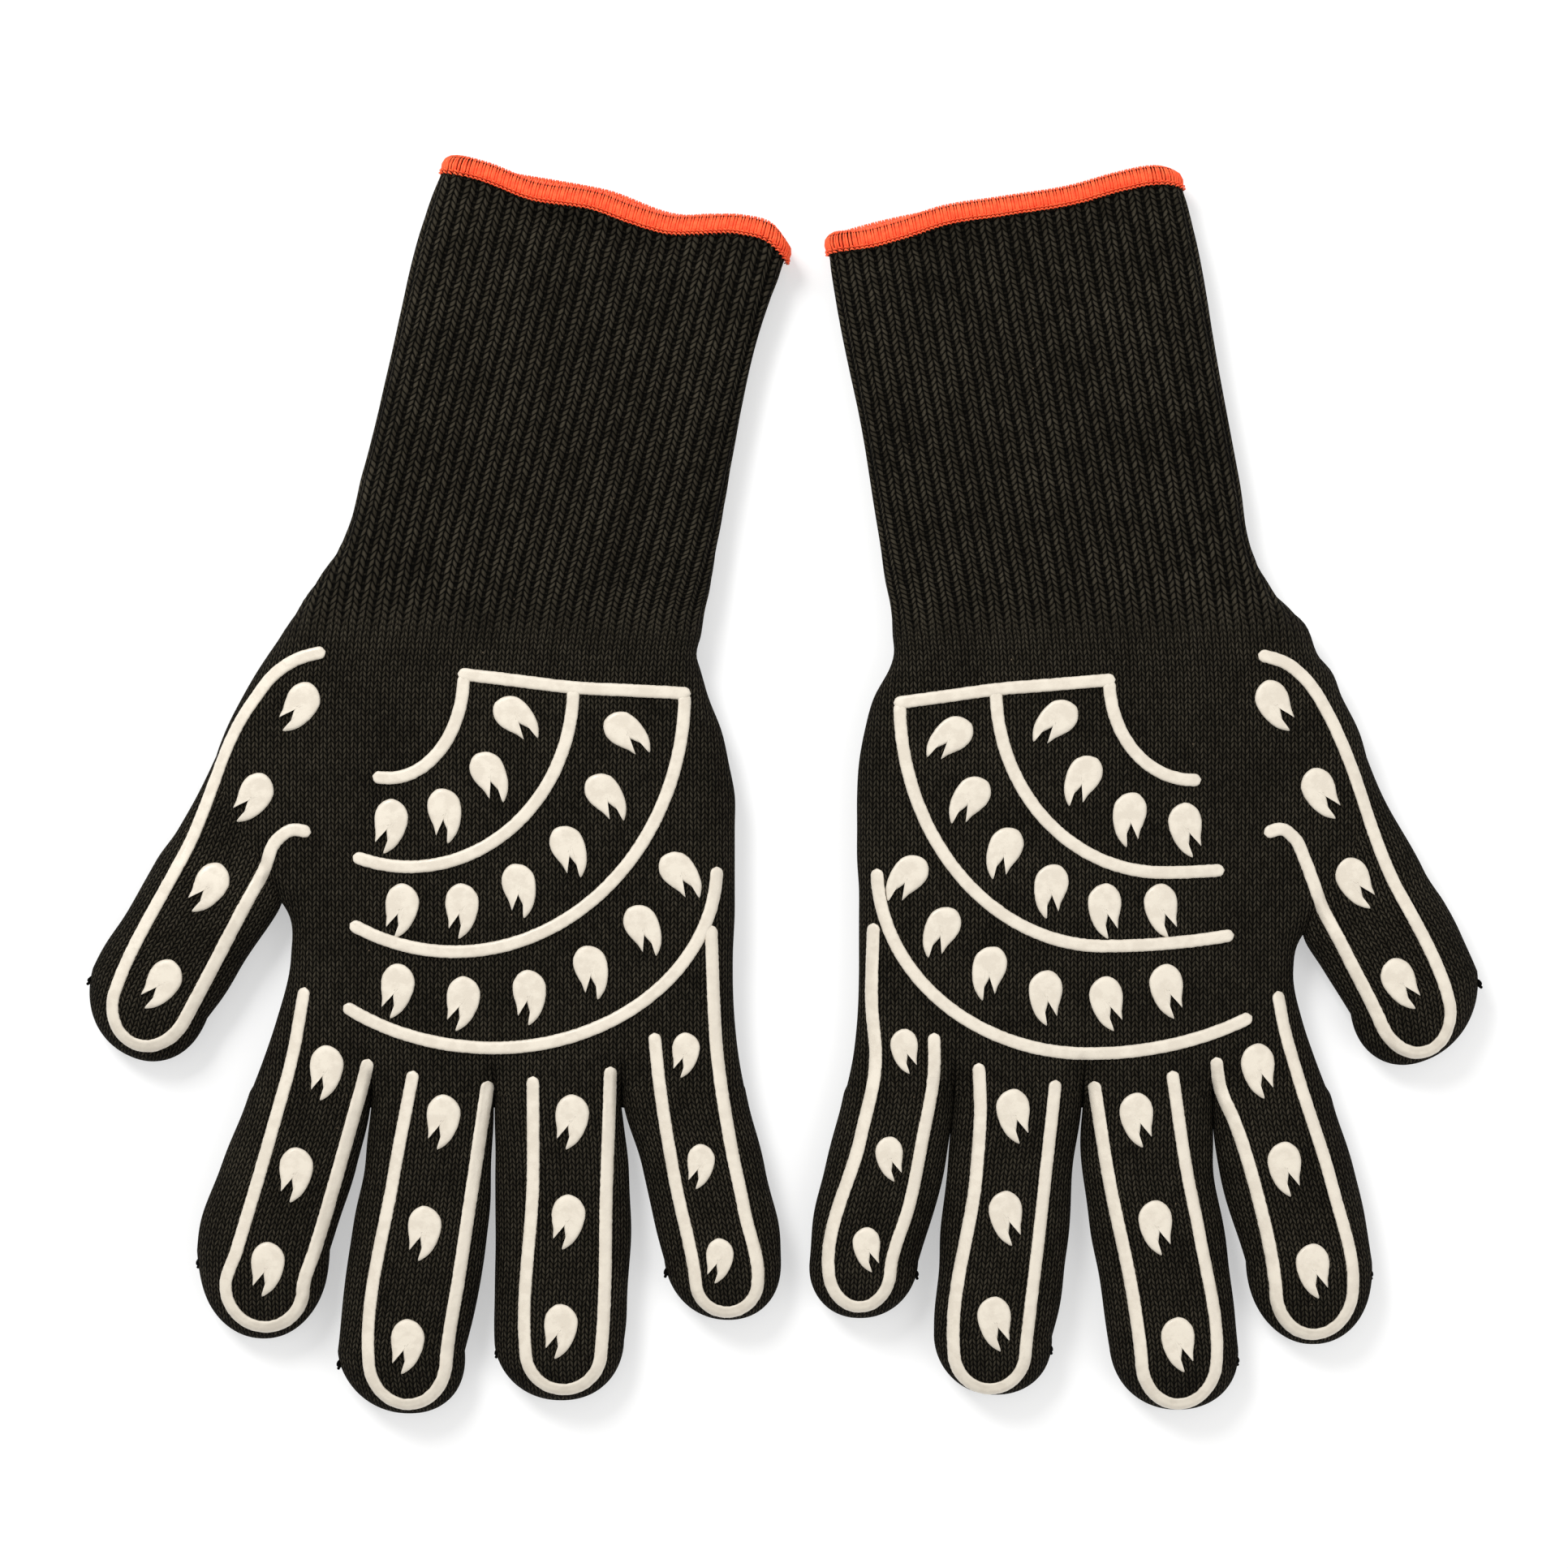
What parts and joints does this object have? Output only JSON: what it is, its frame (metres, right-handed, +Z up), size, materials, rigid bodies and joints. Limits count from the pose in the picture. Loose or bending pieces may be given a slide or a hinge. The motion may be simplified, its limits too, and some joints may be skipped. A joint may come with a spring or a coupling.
{
  "type": "heat resistant gloves",
  "caption": "Pair of knitted heat resistant gloves with ribbed cuffs, bound edges and raised silicone grip lines, lying flat with the palms up.",
  "frame": {"origin": "under the middle of the pair's bounding box, on the surface that the gloves lie on", "axes": "+X across the pair from the right-hand glove to the left-hand glove, +Y from the fingertips to the cuffs, +Z up, out of the printed palm sides"},
  "size_m": [0.367, 0.3358, 0.0163],
  "materials": {
    "knit": "matt knitted aramid yarn",
    "liner": "matt cotton",
    "silicone": "semi-gloss silicone",
    "edging": "overlocked polyester thread"
  },
  "bodies": {
    "right_palm": {"right_palm_frame": "silicone", "right_palm_knit": "knit", "right_palm_liner": "liner", "right_palm_low_line": "silicone"},
    "left_cuff": {"left_cuff_edging": "edging", "left_cuff_knit": "knit", "left_cuff_liner": "liner"},
    "left_index_base": {"left_index_base_knit": "knit", "left_index_east_line": "silicone", "left_index_west_line": "silicone"},
    "left_index_tip": {"left_index_tip_knit": "knit", "left_index_tip_print": "silicone"},
    "left_little_base": {"left_little_base_knit": "knit", "left_little_east_line": "silicone", "left_little_west_line": "silicone"},
    "left_little_tip": {"left_little_tip_knit": "knit", "left_little_tip_print": "silicone"},
    "left_middle_base": {"left_middle_base_knit": "knit", "left_middle_east_line": "silicone", "left_middle_west_line": "silicone"},
    "left_middle_tip": {"left_middle_tip_knit": "knit", "left_middle_tip_print": "silicone"},
    "left_palm": {"left_palm_frame": "silicone", "left_palm_knit": "knit", "left_palm_liner": "liner", "left_palm_low_line": "silicone"},
    "left_ring_base": {"left_ring_base_knit": "knit", "left_ring_east_line": "silicone", "left_ring_west_line": "silicone"},
    "left_ring_tip": {"left_ring_tip_knit": "knit", "left_ring_tip_print": "silicone"},
    "left_thumb_base": {"left_thumb_base_knit": "knit"},
    "left_thumb_tip": {"left_thumb_tip_knit": "knit", "left_thumb_tip_print": "silicone"},
    "right_cuff": {"right_cuff_edging": "edging", "right_cuff_knit": "knit", "right_cuff_liner": "liner"},
    "right_index_base": {"right_index_base_knit": "knit", "right_index_east_line": "silicone", "right_index_west_line": "silicone"},
    "right_index_tip": {"right_index_tip_knit": "knit", "right_index_tip_print": "silicone"},
    "right_little_base": {"right_little_base_knit": "knit", "right_little_east_line": "silicone", "right_little_west_line": "silicone"},
    "right_little_tip": {"right_little_tip_knit": "knit", "right_little_tip_print": "silicone"},
    "right_middle_base": {"right_middle_base_knit": "knit", "right_middle_east_line": "silicone", "right_middle_west_line": "silicone"},
    "right_middle_tip": {"right_middle_tip_knit": "knit", "right_middle_tip_print": "silicone"},
    "right_ring_base": {"right_ring_base_knit": "knit", "right_ring_east_line": "silicone", "right_ring_west_line": "silicone"},
    "right_ring_tip": {"right_ring_tip_knit": "knit", "right_ring_tip_print": "silicone"},
    "right_thumb_base": {"right_thumb_base_knit": "knit"},
    "right_thumb_tip": {"right_thumb_tip_knit": "knit", "right_thumb_tip_print": "silicone"}
  },
  "joints": [
    {"name": "right_wrist", "type": "hinge", "parent": "right_palm", "child": "right_cuff", "pos_m": [-0.07602, 0.04466, 0.0075], "axis": [1, 0, 0], "range_deg": [0, 60]},
    {"name": "right_thumb_root", "type": "hinge", "parent": "right_palm", "child": "right_thumb_base", "pos_m": [-0.14862, -0.02334, 0.0075], "axis": [-0.9135, 0.4067, 0], "range_deg": [0, 50]},
    {"name": "right_thumb_middle", "type": "hinge", "parent": "right_thumb_base", "child": "right_thumb_tip", "pos_m": [-0.16182, -0.04744, 0.0075], "axis": [-0.9135, 0.4067, 0], "range_deg": [0, 60]},
    {"name": "right_index_root", "type": "hinge", "parent": "right_palm", "child": "right_index_base", "pos_m": [-0.12612, -0.07994, 0.0075], "axis": [-1, 0, 0], "range_deg": [0, 70]},
    {"name": "right_index_middle", "type": "hinge", "parent": "right_index_base", "child": "right_index_tip", "pos_m": [-0.13342, -0.10794, 0.0075], "axis": [-1, 0, 0], "range_deg": [0, 80]},
    {"name": "right_middle_root", "type": "hinge", "parent": "right_palm", "child": "right_middle_base", "pos_m": [-0.09362, -0.07994, 0.0075], "axis": [-1, 0, 0], "range_deg": [0, 70]},
    {"name": "right_middle_middle", "type": "hinge", "parent": "right_middle_base", "child": "right_middle_tip", "pos_m": [-0.09712, -0.11994, 0.0075], "axis": [-1, 0, 0], "range_deg": [0, 80]},
    {"name": "right_ring_root", "type": "hinge", "parent": "right_palm", "child": "right_ring_base", "pos_m": [-0.06052, -0.07994, 0.0075], "axis": [-1, 0, 0], "range_deg": [0, 70]},
    {"name": "right_ring_middle", "type": "hinge", "parent": "right_ring_base", "child": "right_ring_tip", "pos_m": [-0.05942, -0.11994, 0.0075], "axis": [-1, 0, 0], "range_deg": [0, 80]},
    {"name": "right_little_root", "type": "hinge", "parent": "right_palm", "child": "right_little_base", "pos_m": [-0.02692, -0.07994, 0.0075], "axis": [-1, 0, 0], "range_deg": [0, 70]},
    {"name": "right_little_middle", "type": "hinge", "parent": "right_little_base", "child": "right_little_tip", "pos_m": [-0.02022, -0.10794, 0.0075], "axis": [-1, 0, 0], "range_deg": [0, 80]},
    {"name": "left_wrist", "type": "hinge", "parent": "left_palm", "child": "left_cuff", "pos_m": [0.08098, 0.04466, 0.0075], "axis": [1, 0, 0], "range_deg": [0, 60]},
    {"name": "left_thumb_root", "type": "hinge", "parent": "left_palm", "child": "left_thumb_base", "pos_m": [0.15588, -0.03344, 0.0075], "axis": [-0.9455, -0.3256, 0], "range_deg": [0, 50]},
    {"name": "left_thumb_middle", "type": "hinge", "parent": "left_thumb_base", "child": "left_thumb_tip", "pos_m": [0.16448, -0.05344, 0.0075], "axis": [-0.9455, -0.3256, 0], "range_deg": [0, 60]},
    {"name": "left_index_root", "type": "hinge", "parent": "left_palm", "child": "left_index_base", "pos_m": [0.12998, -0.07994, 0.0075], "axis": [-1, 0, 0], "range_deg": [0, 70]},
    {"name": "left_index_middle", "type": "hinge", "parent": "left_index_base", "child": "left_index_tip", "pos_m": [0.13578, -0.10794, 0.0075], "axis": [-1, 0, 0], "range_deg": [0, 80]},
    {"name": "left_middle_root", "type": "hinge", "parent": "left_palm", "child": "left_middle_base", "pos_m": [0.09728, -0.07994, 0.0075], "axis": [-1, 0, 0], "range_deg": [0, 70]},
    {"name": "left_middle_middle", "type": "hinge", "parent": "left_middle_base", "child": "left_middle_tip", "pos_m": [0.09958, -0.11994, 0.0075], "axis": [-1, 0, 0], "range_deg": [0, 80]},
    {"name": "left_ring_root", "type": "hinge", "parent": "left_palm", "child": "left_ring_base", "pos_m": [0.06258, -0.07994, 0.0075], "axis": [-1, 0, 0], "range_deg": [0, 70]},
    {"name": "left_ring_middle", "type": "hinge", "parent": "left_ring_base", "child": "left_ring_tip", "pos_m": [0.05878, -0.11994, 0.0075], "axis": [-1, 0, 0], "range_deg": [0, 80]},
    {"name": "left_little_root", "type": "hinge", "parent": "left_palm", "child": "left_little_base", "pos_m": [0.03078, -0.07994, 0.0075], "axis": [-1, 0, 0], "range_deg": [0, 70]},
    {"name": "left_little_middle", "type": "hinge", "parent": "left_little_base", "child": "left_little_tip", "pos_m": [0.02538, -0.10794, 0.0075], "axis": [-1, 0, 0], "range_deg": [0, 80]},
    {"name": "left_glove_slide", "type": "slide", "parent": "right_palm", "child": "left_palm", "axis": [1, 0, 0], "range_m": [0, 0.25]}
  ]
}
